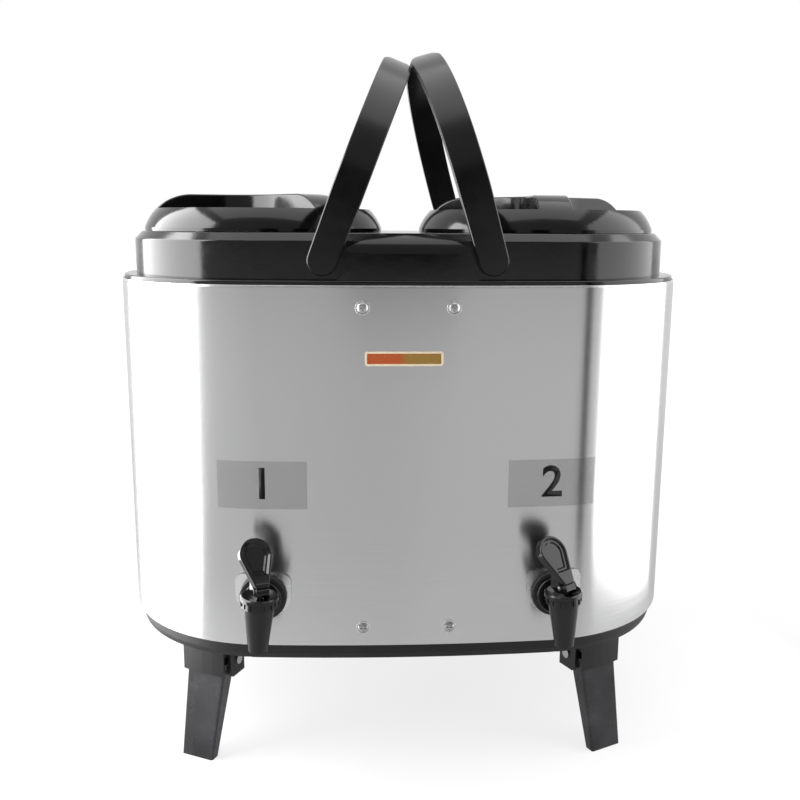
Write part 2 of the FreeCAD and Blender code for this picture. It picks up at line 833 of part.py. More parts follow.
def tap_body(side):
    """Spout cone, valve chamber and threaded shank in one moulding, bored right through."""
    x = tap_x[side]
    y = -tap_reach
    flange_back = flange_y(side)
    flange_front = flange_back - tap_flange_thickness
    tip = tap_z - spout_drop
    shoulder = tap_z + chamber_shoulder
    under_seat = seat_z - seat_thickness
    outside = turned([(0, tip), (spout_tip_radius, tip), (chamber_radius, shoulder),
                      (chamber_radius, chamber_top), (0, chamber_top)], x, y)
    back = -tank_radius + shank_into_tank
    inlet = rod(shank_radius, vec(x, flange_front, tap_z), vec(x, back, tap_z))
    neck = rod(tap_neck_radius, vec(x, y, tap_z), vec(x, flange_back, tap_z))
    flange = rod(tap_flange_radius, vec(x, flange_front, tap_z), vec(x, flange_back, tap_z))
    rim = edges_where(flange, lambda b: b.YMax < flange_front + tiny)
    flange = flange.makeFillet(collar_round, rim)
    throat = spout_tip_radius - spout_wall
    low = tip - overlap
    high = chamber_top + overlap
    inside = turned([(0, low), (throat, low), (throat + spout_flare, under_seat), (seat_bore, under_seat),
                     (seat_bore, seat_z), (chamber_bore, seat_z), (chamber_bore, high), (0, high)], x, y)
    bore = rod(shank_bore, vec(x, flange_front, tap_z), vec(x, back + overlap, tap_z))
    throat_bore = rod(tap_neck_radius - spout_wall, vec(x, y, tap_z), vec(x, flange_back, tap_z))
    body = fuse([outside, neck, inlet, flange]).cut([inside, bore, throat_bore])
    return rolled(body, side)


def escutcheon(side):
    """Flat topped plate with a round bottom, between the washer and the jacket."""
    x = tap_x[side]
    half = plate_width / 2
    high = tap_z + plate_height / 2 - plate_drop
    low = tap_z - plate_height / 2 - plate_drop
    c = plate_corner
    s = c * (1 - math.sqrt(0.5))
    points = [(-half, tap_z), (0, low, half, tap_z), (half, high - c), (half - s, high - s, half - c, high),
              (-half + c, high), (-half + s, high - s, -half, high - c)]
    front = -tap_reach
    face = Part.Face(wire(points, lambda px, pz: vec(x + px, front, pz)))
    block = face.extrude(vec(0, tap_reach, 0))
    plate = block.common(ring(plate_front, plate_back, low - overlap, high + overlap))
    plate = plate.common(box(-half_width, half_width, front, 0, low, high))
    hole = rod(shank_radius + gap, vec(x, front, tap_z), vec(x, 0, tap_z))
    return plate.cut(hole)


def tap_washer(side):
    """Rubber washer with a flat front for the flange and a back that follows the jacket."""
    x = tap_x[side]
    front = flange_y(side)
    disc = rod(washer_radius, vec(x, front, tap_z), vec(x, 0, tap_z))
    rim = edges_where(disc, lambda b: b.YMax < front + tiny)
    disc = disc.makeFillet(washer_round, rim)
    reach = washer_radius + overlap
    panel = slab(washer_back, tap_z - reach, tap_z + reach)
    hole = rod(shank_radius + gap, vec(x, front - overlap, tap_z), vec(x, 0, tap_z))
    return disc.cut([panel, hole])


def tank_seat(side):
    """Where a flat ring of the nut's width meets the tank's inner wall."""
    reach = abs(tank_x - abs(tap_x[side])) + nut_across / 2
    return -math.sqrt((tank_radius - sheet) ** 2 - reach ** 2) + gap


def lock_nut(side):
    """Hexagon nut inside the tank."""
    x = tap_x[side]
    corner = nut_across / 2 / math.cos(math.radians(30))
    points = [(corner * math.cos(math.radians(60 * k)), corner * math.sin(math.radians(60 * k)))
              for k in range(6)]
    start = tank_seat(side) + inner_seal_thickness
    face = Part.Face(wire(points, lambda px, pz: vec(x + px, start, tap_z + pz)))
    nut = face.extrude(vec(0, nut_thickness, 0))
    return nut.cut(rod(shank_radius + running, vec(x, -half_depth, tap_z), vec(x, 0, tap_z)))


def inner_seal(side):
    x = tap_x[side]
    seat = tank_seat(side)
    seal = rod(nut_across / 2, vec(x, seat, tap_z), vec(x, seat + inner_seal_thickness, tap_z))
    return seal.cut(rod(shank_radius + gap, vec(x, -half_depth, tap_z), vec(x, 0, tap_z)))


def bonnet(side):
    """Screw cap of the tap, ribbed for the fingers, dished above round the lever."""
    r = bonnet_radius
    waist = r - bonnet_waist
    bore = chamber_radius + running
    roof = chamber_top + gap
    band = bonnet_top - bonnet_band
    hole = stem_radius + gap
    points = [(bore, bonnet_z), (waist, bonnet_z), (waist, band - bonnet_bevel), (r, band),
              (r, bonnet_top - bonnet_bevel), (r - bonnet_bevel, bonnet_top), (r - bonnet_lip, bonnet_top),
              (bonnet_opening, bonnet_floor), (hole, bonnet_floor), (hole, roof), (bore, roof)]
    cap = turned(points)
    ribs = []
    for index in range(bonnet_rib_count):
        half = bonnet_rib_width / 2
        rib = box(-half, half, -waist - bonnet_rib_proud, -bore - tiny, bonnet_z + overlap, band)
        rib.rotate(vec(0, 0, 0), vec(0, 0, 1), 360 * index / bonnet_rib_count)
        ribs.append(rib)
    cap = fuse([cap] + ribs)
    cap.translate(vec(tap_x[side], -tap_reach, 0))
    return rolled(cap, side)


def rolled(shape, side):
    """Turns a piece of a tap about its shank, as each tap happens to be tightened."""
    copy = shape.copy()
    copy.rotate(vec(tap_x[side], 0, tap_z), vec(0, 1, 0), tap_roll[side])
    return copy


def lever_turn(shape, side):
    """Moves a piece drawn about the lever's pin, facing forwards, to its swivelled place."""
    copy = shape.copy()
    copy.rotate(vec(0, 0, 0), vec(0, 0, 1), lever_swivel[side])
    copy.translate(vec(tap_x[side], -tap_reach, lever_pin_z))
    return rolled(copy, side)


def paddle_outline(inset, foot, y):
    """The paddle's teardrop moved inwards, with a straight foot at a height above the pin."""
    tip = lever_length - lever_head_radius
    slope = math.asin((lever_head_radius - lever_neck_half) / tip)
    r = lever_head_radius - inset
    hx = r * math.cos(slope)
    hz = tip - r * math.sin(slope)
    fx = hx - (hz - foot) * math.tan(slope)
    points = [(-fx, foot), (fx, foot), (hx, hz), (0, tip + r, -hx, hz)]
    return wire(points, lambda px, pz: vec(px, y, pz))


def lever(side):
    """Sunk teardrop paddle on a deep neck, forked over the stem, whose heel rocks on the bonnet."""
    n = lever_neck_half
    front = -lever_forward - lever_thickness / 2
    blade = Part.Face(paddle_outline(0, 0, front)).extrude(vec(0, lever_thickness, 0))
    rims = edges_where(blade, lambda b: b.YLength < tiny and b.ZLength > tiny)
    blade = blade.makeFillet(lever_edge_round, rims)
    slope = lever_dish_slope
    sunk = [paddle_outline(lever_rim - slope, lever_dish_foot - slope, front - lever_dish),
            paddle_outline(lever_rim + slope, lever_dish_foot + slope, front + lever_dish)]
    blade = blade.cut(Part.makeLoft(sunk, True, True))
    blade.rotate(vec(0, 0, 0), vec(1, 0, 0), -lever_lean)
    crook = lever_forward * math.sin(math.radians(lever_lean)) + neck_rear_height
    side_view = [(-neck_front, 0), (-neck_front, neck_front_height), (0, crook),
                 (neck_rear, neck_rear_height), (neck_rear, -neck_rear_foot), (0, -heel_radius),
                 (-heel_offset, -heel_radius)]
    neck = Part.Face(wire(side_view, lambda py, pz: vec(-n, py, pz))).extrude(vec(2 * n, 0, 0))
    heel = rod(heel_radius, vec(-n, -heel_offset, 0), vec(n, -heel_offset, 0))
    pin_hole = rod(lever_pin_radius + running, vec(-2 * n, 0, 0), vec(2 * n, 0, 0))
    reach = heel_offset + heel_radius + overlap
    half = stem_radius + gap
    low_slot = box(-half, half, -reach, reach, -reach, 0)
    high_slot = box(-half, half, fork_wall - neck_front, reach, -overlap, fork_depth)
    body = fuse([blade, neck, heel])
    return lever_turn(body.cut([pin_hole, low_slot, high_slot]), side)


def lever_pin(side):
    half = lever_neck_half - gap
    return lever_turn(rod(lever_pin_radius, vec(-half, 0, 0), vec(half, 0, 0)), side)


def stem(side):
    """Stem from the lever's pin down into the cup, with a disc that lifts it."""
    bottom = cup_bottom + cup_floor + gap - lever_pin_z
    disc = cup_top + gap - lever_pin_z
    shank = rod(stem_radius, vec(0, 0, bottom), vec(0, 0, stem_crown))
    plate = rod(cup_disc_radius, vec(0, 0, disc), vec(0, 0, disc + cup_disc))
    reach = stem_radius + overlap
    hole = rod(lever_pin_radius + running, vec(-reach, 0, 0), vec(reach, 0, 0))
    return lever_turn(shank.fuse(plate).removeSplitter().cut(hole), side)


def seat_cup(side):
    """Silicone cup that closes the outlet from above."""
    low = cup_bottom
    bore = stem_radius + gap
    hollow = low + cup_floor
    points = [(0, low), (seat_bore + cup_land, low), (cup_radius, low + cup_bevel), (cup_radius, cup_top),
              (bore, cup_top), (bore, hollow), (0, hollow)]
    return rolled(turned(points, tap_x[side], -tap_reach), side)


def badge():
    """Thin bare plate, bent to the jacket's face."""
    block = box(badge_x - badge_width / 2, badge_x + badge_width / 2, -tap_reach, 0,
                badge_z - badge_height / 2, badge_z + badge_height / 2)
    skin = ring(-badge_thickness, -film_gap, badge_z - badge_height, badge_z + badge_height)
    return block.common(skin)


def label(side):
    x = label_x[side]
    block = box(x - label_width / 2, x + label_width / 2, -tap_reach, 0,
                label_z - label_height / 2, label_z + label_height / 2)
    skin = ring(-film_gap - label_thickness, -film_gap, label_z - label_height, label_z + label_height)
    return block.common(skin)


def build():
    nodes = {
        "jacket": jacket(),
        "top_collar": collar(),
        "base_pan": base_pan(),
        "insulation": insulation(),
        "front_screws": screws(-1),
        "back_screws": screws(1),
        "badge_plate": badge(),
    }
    standing_leg = leg()
    standing_pin = leg_pin()
    for end, side in corners():
        nodes[end + "_" + side + "_leg"] = at_corner(standing_leg, end, side)
        nodes[end + "_" + side + "_leg_pin"] = at_corner(standing_pin, end, side)
    flat_bail = folded_bail()
    flat_clips = clips()
    for side, sx in side_sign.items():
        nodes[side + "_tank"] = tank(side)
        nodes[side + "_neck_seal"] = neck_seal(sx)
        nodes[side + "_lid_cover"] = lid_cover(side)
        nodes[side + "_lid_plug"] = lid_plug(sx)
        nodes[side + "_lid_gasket"] = gasket(sx)
        nodes[side + "_handle"] = stood_up(flat_bail, side)
        nodes[side + "_handle_clips"] = stood_up(flat_clips, side)
        nodes[side + "_tap_body"] = tap_body(side)
        nodes[side + "_tap_bonnet"] = bonnet(side)
        nodes[side + "_tap_lever"] = lever(side)
        nodes[side + "_tap_lever_pin"] = lever_pin(side)
        nodes[side + "_tap_stem"] = stem(side)
        nodes[side + "_tap_cup"] = seat_cup(side)
        nodes[side + "_tap_washer"] = tap_washer(side)
        nodes[side + "_tap_plate"] = escutcheon(side)
        nodes[side + "_tap_nut"] = lock_nut(side)
        nodes[side + "_tap_inner_seal"] = inner_seal(side)
        nodes[side + "_label"] = label(side)
    return nodes


# The origin is under the middle of the box, which reaches from the bonnets to the back screws
front_reach = tap_reach + bonnet_radius
back_reach = face_y(screw_half_spacing, 0) + screw_seat + screw_head_height
shift_y = (front_reach - back_reach) / 2

os.makedirs("parts", exist_ok=True)
for name, shape in build().items():
    shape.translate(vec(0, shift_y, 0))
    solids = len(shape.Solids)
    print(name, "solids", solids, "valid", shape.isValid(), "volume", round(shape.Volume, 1))
    shape.exportStep("parts/" + name + ".step")
print("shift_y", round(shift_y, 4), "pivot_z", pivot_z, "collar_top", collar_top)
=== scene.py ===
# %% [markdown]
# # A twin insulated beverage dispenser
#
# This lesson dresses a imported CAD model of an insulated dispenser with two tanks: a brushed
# stainless jacket, a glossy black top with two screw lids, two bail handles, two lever taps
# and four folding legs. The CAD gives every shape that has to fit another one. Blender adds
# what the eye reads: the surfaces, and the thin printed and stuck on pieces.
# The frame is loaded first, because every new piece is placed by it. The photograph shows only
# the front, so some things here are guesses, and the lessons say which.

# %% Load the frame
import math

import bpy
from mathutils import Matrix, Vector


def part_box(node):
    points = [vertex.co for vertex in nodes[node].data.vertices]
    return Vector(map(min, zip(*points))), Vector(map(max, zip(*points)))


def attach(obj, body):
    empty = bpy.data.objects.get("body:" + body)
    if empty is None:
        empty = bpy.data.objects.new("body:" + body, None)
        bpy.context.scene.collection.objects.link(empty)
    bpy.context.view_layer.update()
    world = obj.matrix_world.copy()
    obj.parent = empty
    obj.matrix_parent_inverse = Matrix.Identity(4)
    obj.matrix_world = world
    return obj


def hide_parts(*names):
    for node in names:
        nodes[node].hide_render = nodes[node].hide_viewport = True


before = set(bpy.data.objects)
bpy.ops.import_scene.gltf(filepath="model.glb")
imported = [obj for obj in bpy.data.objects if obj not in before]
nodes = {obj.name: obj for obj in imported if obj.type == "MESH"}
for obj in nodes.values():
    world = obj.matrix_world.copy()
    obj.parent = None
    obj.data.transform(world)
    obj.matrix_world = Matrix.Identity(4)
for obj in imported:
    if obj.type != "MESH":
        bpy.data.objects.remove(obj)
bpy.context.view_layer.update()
SIDES = ("left", "right")
ENDS = ("front", "back")

# %% [markdown]
# ## The camera
#
# The photograph was taken from a little left of the middle, about 0.66 m in front of the
# dispenser's middle and 0.37 m above the floor, looking down by eleven degrees. The frame is
# square. A constraint could aim the camera, but fixed turns are easier to match to a
# photograph: first it looks level along +Y, then down, then to the right, and last it rolls by
# a third of a degree about its own axis.

# %% Camera
LENS_MM = 40.895
SENSOR_MM = 36.0
LENS_PLACE = (-0.03354, -0.66019, 0.36885)
LOOK_DOWN = 0.193
LOOK_RIGHT = 0.0502
CAMERA_ROLL = 0.0058
UPRIGHT = math.pi / 2

bpy.ops.object.camera_add(location=LENS_PLACE)
camera = bpy.context.object
turned = Matrix.Rotation(-LOOK_RIGHT, 4, "Z") @ Matrix.Rotation(UPRIGHT - LOOK_DOWN, 4, "X")
rolled = Matrix.Rotation(CAMERA_ROLL, 4, "Z")
camera.matrix_world = Matrix.Translation(LENS_PLACE) @ turned @ rolled
camera.data.lens = LENS_MM
camera.data.sensor_width = SENSOR_MM
camera.data.sensor_fit = "HORIZONTAL"
camera.data.clip_start = 0.01
bpy.context.scene.camera = camera
bpy.context.scene.view_settings.view_transform = "Standard"
looks_along = camera.matrix_world.to_3x3() @ Vector((0, 0, -1))
print("camera looks along", [round(v, 3) for v in looks_along])

# %% [markdown]
# ## Helpers for materials
#
# Every finish below is a small tree of nodes. One function adds a node, with its settings, its
# values and its links, and one turns the hex colours that people write into the linear numbers
# that a renderer needs. A third starts a material with its shader, whose fixed values are set
# on the shader's own sockets. A fourth makes the unevenness that every real surface has.

# %% Node helper, colour helper and material start
NOISE_LOW, NOISE_HIGH = 0.3, 0.7  # most of the noise lies between these two values
NOISE_ROUGHNESS = 0.55


def add_node(tree, kind, inputs=None, **settings):
    """A node of this kind. Inputs are values, or sockets of other nodes to link from."""
    node = tree.nodes.new(kind)
    for name, value in settings.items():
        setattr(node, name, value)
    for socket, value in (inputs or {}).items():
        if isinstance(value, bpy.types.NodeSocket):
            tree.links.new(value, node.inputs[socket])
        else:
            node.inputs[socket].default_value = value
    return node


def linear(hex_colour):
    """An sRGB hex colour as linear red, green, blue and alpha."""
    channels = [int(hex_colour[i : i + 2], 16) / 255 for i in (1, 3, 5)]
    return (*[c / 12.92 if c <= 0.04045 else ((c + 0.055) / 1.055) ** 2.4 for c in channels], 1.0)


def start_material(name, **values):
    """A new material with one shader, whose values are set by the names of its sockets."""
    material = bpy.data.materials.new(name)
    material.use_nodes = True
    shader = material.node_tree.nodes["Principled BSDF"]
    for socket, value in values.items():
        shader.inputs[socket.replace("_", " ")].default_value = value
    return material, material.node_tree, shader


def wear(tree, place, grain, detail, low, high, stretch=(1.0, 1.0, 1.0)):
    """Noise of this grain size in metres, spread between two values. Returns its output."""
    stretched = add_node(tree, "ShaderNodeMapping", {"Vector": place, "Scale": stretch})
    noise_inputs = {
        "Vector": stretched.outputs["Vector"],
        "Scale": 1.0 / grain,
        "Detail": detail,
        "Roughness": NOISE_ROUGHNESS,
    }
    noise = add_node(tree, "ShaderNodeTexNoise", noise_inputs)
    spread_inputs = {
        "Value": noise.outputs["Fac"],
        "From Min": NOISE_LOW,
        "From Max": NOISE_HIGH,
        "To Min": low,
        "To Max": high,
    }
    return add_node(tree, "ShaderNodeMapRange", spread_inputs).outputs["Result"]


def mottled(tree, place, grain, first, second):
    """Two hex colours, mixed in patches of this size in metres. Returns its output."""
    patches = wear(tree, place, grain, 3.0, 0.0, 1.0)
    colours = {0: patches, 6: linear(first), 7: linear(second)}
    return add_node(tree, "ShaderNodeMix", colours, data_type="RGBA").outputs[2]


def dress(names, material):
    """Gives CAD nodes their finish."""
    for name in names:
        nodes[name].data.materials.clear()
        nodes[name].data.materials.append(material)
    print(material.name, "on", ", ".join(names))


print("a middle grey, #808080, is", round(linear("#808080")[0], 3), "in linear light")

# %% [markdown]
# ## The jacket: stainless steel sheet, brushed round the body
#
# The jacket reads as a strip of thin stainless sheet, brushed along its length and rolled into
# an oblong ring, so that the grooves run round the body. No groove can be seen in the
# photograph. The direction is read from the reflections: the levers smear up and down, while
# the edge of the softbox on the round end stays sharp. Grooves spread a reflection far across
# them and hardly along them, which is called anisotropy. A scratch picture laid on the sheet
# would show its seam and its edges. Stretched noise has neither, so it is used here, with a
# tangent that runs round the Z axis. A real groove is about a tenth of a millimetre wide, too
# fine to show, so it is drawn about half a millimetre wide, and it changes roughness and height
# only slightly.

# %% Brushed stainless steel
# To the eye: a soft mirror, smeared up and down, with fine streaks along the brush.
STEEL_DARK, STEEL_COLOUR = "#cfcfd0", "#d4d4d5"
BRUSH_WIDTH = 0.0005
BRUSH_LENGTH_RATIO = 0.012
BRUSH_ROUGHNESS = (0.2, 0.24)
GROOVE_STRENGTH = 0.05
GROOVE_DEPTH = 0.00002

brushed_steel, tree, shader = start_material(
    "brushed_stainless_steel",
    Metallic=1.0,
    Roughness=0.22,
    Anisotropic=0.8,
    Anisotropic_Rotation=0.25,
)
place = add_node(tree, "ShaderNodeTexCoord").outputs["Object"]
brush_stretch = (BRUSH_LENGTH_RATIO, BRUSH_LENGTH_RATIO, 1.0)
streaks = wear(tree, place, BRUSH_WIDTH, 3.0, 0.0, 1.0, brush_stretch)
steel_shade = add_node(
    tree,
    "ShaderNodeMix",
    {0: streaks, 6: linear(STEEL_DARK), 7: linear(STEEL_COLOUR)},
    data_type="RGBA",
)
tree.links.new(steel_shade.outputs[2], shader.inputs["Base Color"])
steel_rough = add_node(
    tree,
    "ShaderNodeMapRange",
    {"Value": streaks, "To Min": BRUSH_ROUGHNESS[0], "To Max": BRUSH_ROUGHNESS[1]},
)
tree.links.new(steel_rough.outputs["Result"], shader.inputs["Roughness"])
around = add_node(tree, "ShaderNodeTangent", direction_type="RADIAL", axis="Z")
tree.links.new(around.outputs["Tangent"], shader.inputs["Tangent"])
grooves = add_node(
    tree,
    "ShaderNodeBump",
    {"Height": streaks, "Strength": GROOVE_STRENGTH, "Distance": GROOVE_DEPTH},
)
tree.links.new(grooves.outputs["Normal"], shader.inputs["Normal"])
dress(["jacket"], brushed_steel)

# %% [markdown]
# ## The other metals
#
# Three more metals. A tank is usually deep drawn from stainless sheet, and the die leaves it
# satin. The screws read as nickel plated, which is bright and finely scratched, and the other
# small metal parts follow them. The plate behind each tap reads as chromed, the palest. One
# roughness all over would look too clean, so noise makes the gloss uneven. Real scratches are
# hundredths of a millimetre wide, too fine to show, so the noise has a grain of 1 to 3 mm.
# The tanks, clips and stems are inside, so their finish is a guess.

# %% Drawn steel, screws, pins and chromed plate
def plain_metal(name, colour, grain, detail, rough_low, rough_high):
    """A metal of one colour, with a gloss that is uneven at this grain size in metres."""
    material, tree, shader = start_material(name, Metallic=1.0)
    place = add_node(tree, "ShaderNodeTexCoord").outputs["Object"]
    shader.inputs["Base Color"].default_value = linear(colour)
    gloss = wear(tree, place, grain, detail, rough_low, rough_high)
    tree.links.new(gloss, shader.inputs["Roughness"])
    return material


# To the eye: grey and satin, with no sharp reflection.
drawn_steel = plain_metal("satin_drawn_stainless_steel", "#bcbcbc", 0.002, 4.0, 0.24, 0.34)
dress([f"{side}_tank" for side in SIDES], drawn_steel)

# To the eye: small, bright and a little scratched.
screw_steel = plain_metal("nickel_plated_screw_steel", "#bdbdbd", 0.0008, 3.0, 0.18, 0.34)
leg_pins = [f"{end}_{side}_leg_pin" for end in ENDS for side in SIDES]
dress(["front_screws", "back_screws"] + leg_pins, screw_steel)
dress([f"{side}_tap_lever_pin" for side in SIDES], screw_steel)
dress([f"{side}_handle_clips" for side in SIDES], screw_steel)
dress([f"{side}_tap_stem" for side in SIDES], screw_steel)

# To the eye: a pale ring behind each tap, nearly a mirror.
chrome = plain_metal("chromed_plate", "#e6e6e6", 0.003, 3.0, 0.22, 0.34)
dress([f"{side}_tap_plate" for side in SIDES], chrome)

# %% [markdown]
# ## Black plastics
#
# The black parts read as injection moulded, and each keeps the finish of its mould. A polished
# mould gives the glossy top, lids, handles and taps: nearly black, with clear reflections over
# them. Those waver a little, as a moulding's skin shrinks unevenly while it cools, and the bump
# below is that waver, hundredths of a millimetre deep over some millimetres. A grained mould
# gives the matt base. Its real grain is a few tenths of a millimetre, and it is drawn at 1.2 mm
# to show. The legs are glossy and scuffed, so their colour is paler and their roughness changes
# most. One function makes all of them, because only their colours, gloss and skin differ.

# %% Glossy and matt black mouldings
COLOUR_PATCH = 0.03
GLOSS_PATCH = 0.012
SKIN_STRENGTH = 0.4


def moulded(name, colours, rough, skin):
    """A moulding: two hex colours, a range of roughness, and its skin's grain and depth."""
    material, tree, shader = start_material(name, IOR=1.45)
    place = add_node(tree, "ShaderNodeTexCoord").outputs["Object"]
    tree.links.new(mottled(tree, place, COLOUR_PATCH, *colours), shader.inputs["Base Color"])
    tree.links.new(wear(tree, place, GLOSS_PATCH, 4.0, *rough), shader.inputs["Roughness"])
    grain, depth = skin
    height = wear(tree, place, grain, 2.0, 0.0, 1.0)
    bump = add_node(
        tree, "ShaderNodeBump", {"Height": height, "Strength": SKIN_STRENGTH, "Distance": depth}
    )
    tree.links.new(bump.outputs["Normal"], shader.inputs["Normal"])
    return material


# To the eye: deep black, with reflections that waver.
gloss_top = moulded(
    "gloss_black_abs_top", ("#070708", "#0c0c0d"), rough=(0.1, 0.18), skin=(0.004, 0.00002)
)
dress(["top_collar"], gloss_top)
gloss_lid = moulded(
    "gloss_black_abs_lid", ("#070708", "#0c0c0d"), rough=(0.09, 0.17), skin=(0.004, 0.00002)
)
dress([f"{side}_lid_cover" for side in SIDES], gloss_lid)

# To the eye: softer highlights than the lids have, as on a grip that hands wear.
gloss_handle = moulded(
    "gloss_black_nylon_handle", ("#0c0c0d", "#121213"), rough=(0.18, 0.26), skin=(0.003, 0.00001)
)
dress([f"{side}_handle" for side in SIDES], gloss_handle)

# To the eye: black with small sharp highlights on every edge of the taps.
gloss_tap = moulded(
    "gloss_black_acetal_tap", ("#09090a", "#0e0e0f"), rough=(0.12, 0.2), skin=(0.003, 0.00002)
)
dress([f"{side}_tap_{part}" for side in SIDES for part in ("body", "bonnet", "lever")], gloss_tap)

# To the eye: dark grey, shiny and dull in patches.
gloss_leg = moulded(
    "scuffed_gloss_black_polypropylene_leg",
    ("#1b1b1d", "#343437"),
    rough=(0.1, 0.32),
    skin=(0.006, 0.00008),
)
dress([f"{end}_{side}_leg" for end in ENDS for side in SIDES], gloss_leg)

# To the eye: a dull black that mirrors nothing.
matt_pan = moulded(
    "matt_black_polypropylene_base",
    ("#0b0b0c", "#111112"),
    rough=(0.4, 0.5),
    skin=(0.0012, 0.00004),
)
dress(["base_pan"], matt_pan)
matt_plug = moulded(
    "matt_black_polypropylene_plug",
    ("#131314", "#1a1a1b"),
    rough=(0.4, 0.5),
    skin=(0.0012, 0.00004),
)
dress([f"{side}_lid_plug" for side in SIDES], matt_plug)

# To the eye: a milky white, the only pale moulding. It is inside, and a guess.
natural_nut = moulded(
    "natural_nylon_nut", ("#c9c8bf", "#bdbbb0"), rough=(0.35, 0.45), skin=(0.002, 0.00003)
)
dress([f"{side}_tap_nut" for side in SIDES], natural_nut)

# %% [markdown]
# ## Rubber, silicone and foam
#
# What seals the drink in is soft, and so is what keeps it cold. Of these only the black washers
# behind the taps show from outside, and the rest is a guess. They are finished all the same,
# because a lid can be lifted and a tap taken out. A soft skin scatters light, so these have the
# same tree as the mouldings, with more roughness and a finer grain.

# %% Soft seals and foam
# To the eye: rubber is a dusty black, silicone a warm white, foam a rough straw yellow.
rubber = moulded(
    "black_nitrile_rubber", ("#161616", "#1e1e1e"), rough=(0.5, 0.65), skin=(0.0008, 0.00004)
)
dress([f"{side}_tap_washer" for side in SIDES] + [f"{side}_neck_seal" for side in SIDES], rubber)
dress([f"{side}_tap_inner_seal" for side in SIDES], rubber)
silicone = moulded(
    "white_silicone_rubber", ("#dad7cc", "#cfccc0"), rough=(0.4, 0.5), skin=(0.0015, 0.00003)
)
dress([f"{side}_lid_gasket" for side in SIDES] + [f"{side}_tap_cup" for side in SIDES], silicone)
foam = moulded(
    "poured_polyurethane_foam", ("#d9c48c", "#c9b278"), rough=(0.8, 0.95), skin=(0.001, 0.0002)
)
dress(["insulation"], foam)

# %% [markdown]
# ## The badge
#
# The badge reads as a stamped metal strip about fifty millimetres long, with a raised cream rim
# and baked enamel in the sunk field: burnt orange at one end, olive brown at the other. The rim
# could be a second piece on a flat strip, but a stamping is one sheet. So a block of that size
# gets its four corners rounded with a bevel, then its front face is inset by the width of the
# rim and pushed in. Insetting keeps the rim one even width round the corners.

# %% Where the jacket's faces are
FACE_RADIUS = 1.384
FRONT_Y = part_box("jacket")[0].y
BACK_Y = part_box("jacket")[1].y
FRONT_AXIS = FRONT_Y + FACE_RADIUS
GAP = 0.00002


def face_y(x):
    """How far forward the jacket's front is at this x."""
    return FRONT_AXIS - math.sqrt(FACE_RADIUS**2 - x**2)


def block(name, low, high):
    """A block between two corners, with its place in its mesh."""
    bpy.ops.object.select_all(action="DESELECT")
    middle = [(a + b) / 2 for a, b in zip(low, high)]
    bpy.ops.mesh.primitive_cube_add(size=1.0, location=middle)
    piece = bpy.context.object
    piece.name = name
    piece.scale = [b - a for a, b in zip(low, high)]
    bpy.ops.object.transform_apply(location=True, rotation=True, scale=True)
    return piece


def select_parts(piece, kind, wanted):
    """Selects faces or edges of a piece by a test of each, and leaves it in edit mode."""
    bpy.ops.object.select_all(action="DESELECT")
    bpy.context.view_layer.objects.active = piece
    piece.select_set(True)
    bpy.ops.object.mode_set(mode="EDIT")
    bpy.ops.mesh.select_mode(type=kind)
    bpy.ops.mesh.select_all(action="DESELECT")
    bpy.ops.object.mode_set(mode="OBJECT")
    parts = piece.data.polygons if kind == "FACE" else piece.data.edges
    for part in parts:
        part.select = bool(wanted(part))
    bpy.ops.object.mode_set(mode="EDIT")


def along(piece, edge, axis):
    """Whether an edge runs along this axis."""
    a, b = (piece.data.vertices[i].co for i in edge.vertices)
    return abs((b - a).normalized()[axis]) > 0.99


print("jacket front at the middle", round(FRONT_Y, 5), "at a label", round(face_y(0.0941), 5))

# %% Badge plate
BADGE_DEPTH = 0.00062
BADGE_LOW = (-0.0273, FRONT_Y - BADGE_DEPTH, 0.2798)
BADGE_HIGH = (0.0223, FRONT_Y - GAP, 0.2890)
CORNER_RADIUS = 0.0016
SOFT_EDGE = 0.0001
RIM_WIDTH = 0.0011
FIELD_DEPTH = 0.00022
WHOLE_FRONT_AREA = 0.0003

badge = block("badge", BADGE_LOW, BADGE_HIGH)
select_parts(badge, "EDGE", lambda edge: along(badge, edge, 1))
bpy.ops.mesh.bevel(offset=CORNER_RADIUS, segments=5, affect="EDGES")
bpy.ops.object.mode_set(mode="OBJECT")
select_parts(badge, "FACE", lambda face: face.normal.y < -0.9)
bpy.ops.mesh.bevel(offset=SOFT_EDGE, segments=2, affect="EDGES")
bpy.ops.object.mode_set(mode="OBJECT")
select_parts(badge, "FACE", lambda face: face.normal.y < -0.9 and face.area > WHOLE_FRONT_AREA)
bpy.ops.mesh.inset(thickness=RIM_WIDTH, depth=0.0)
bpy.ops.mesh.inset(thickness=SOFT_EDGE, depth=-FIELD_DEPTH)
bpy.ops.object.mode_set(mode="OBJECT")
print("badge faces", len(badge.data.polygons))

# %% Badge paint and enamel
# To the eye: a satin cream rim, and enamel that shines a little more than the rim.
CHANGE_FROM, CHANGE_TO = -0.0065, 0.0005

rim_paint, tree, shader = start_material("cream_lacquered_badge_rim", Roughness=0.35, IOR=1.5)
place = add_node(tree, "ShaderNodeTexCoord").outputs["Object"]
cream = mottled(tree, place, 0.002, "#efe0c6", "#e2cfb0")
tree.links.new(cream, shader.inputs["Base Color"])
enamel, tree, shader = start_material("burnt_orange_and_olive_baked_enamel", IOR=1.5)
place = add_node(tree, "ShaderNodeTexCoord").outputs["Object"]
across = add_node(tree, "ShaderNodeSeparateXYZ", {"Vector": place})
change = add_node(
    tree,
    "ShaderNodeMapRange",
    {"Value": across.outputs["X"], "From Min": CHANGE_FROM, "From Max": CHANGE_TO},
    interpolation_type="SMOOTHSTEP",
)
field = add_node(
    tree,
    "ShaderNodeMix",
    {0: change.outputs["Result"], 6: linear("#b3501f"), 7: linear("#94702c")},
    data_type="RGBA",
)
tree.links.new(field.outputs[2], shader.inputs["Base Color"])
